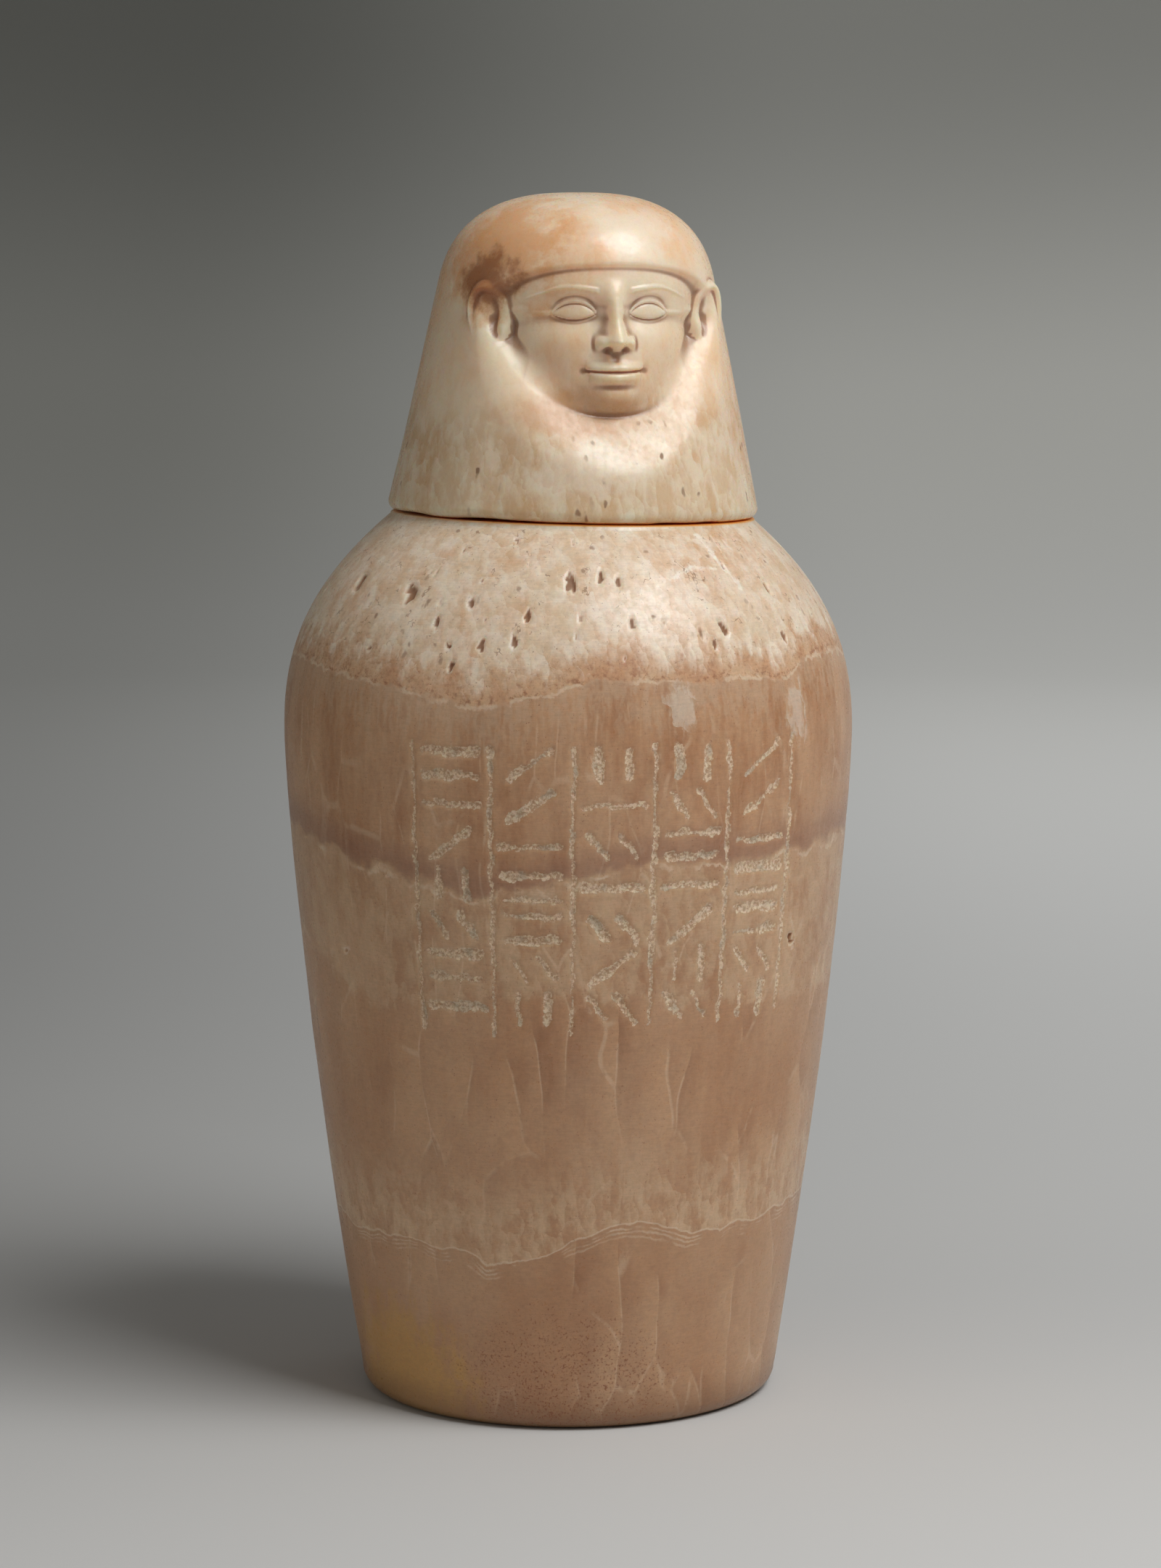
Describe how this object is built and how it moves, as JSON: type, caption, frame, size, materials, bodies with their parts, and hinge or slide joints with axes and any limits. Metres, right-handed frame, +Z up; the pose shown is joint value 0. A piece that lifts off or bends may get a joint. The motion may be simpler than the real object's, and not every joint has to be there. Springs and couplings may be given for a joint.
{
  "type": "canopic jar",
  "caption": "Thick-walled hollow stone jar, widest at the shoulder, with shallow strokes in columns on its front and a loose lid carved as a head in a plain wig.",
  "frame": {"origin": "middle of the jar's underside, on the surface it stands on", "axes": "+Z up along the jar's axis, -Y through the middle of the inscription, +X to the right of someone who faces it"},
  "size_m": [0.1704, 0.1704, 0.3603],
  "materials": {
    "jar_stone": "banded brown and cream travertine, worn satin polish",
    "lid_stone": "cream to honey travertine, soft polish"
  },
  "bodies": {
    "root": {"jar": "jar_stone", "head_lid": "lid_stone"}
  },
  "joints": []
}
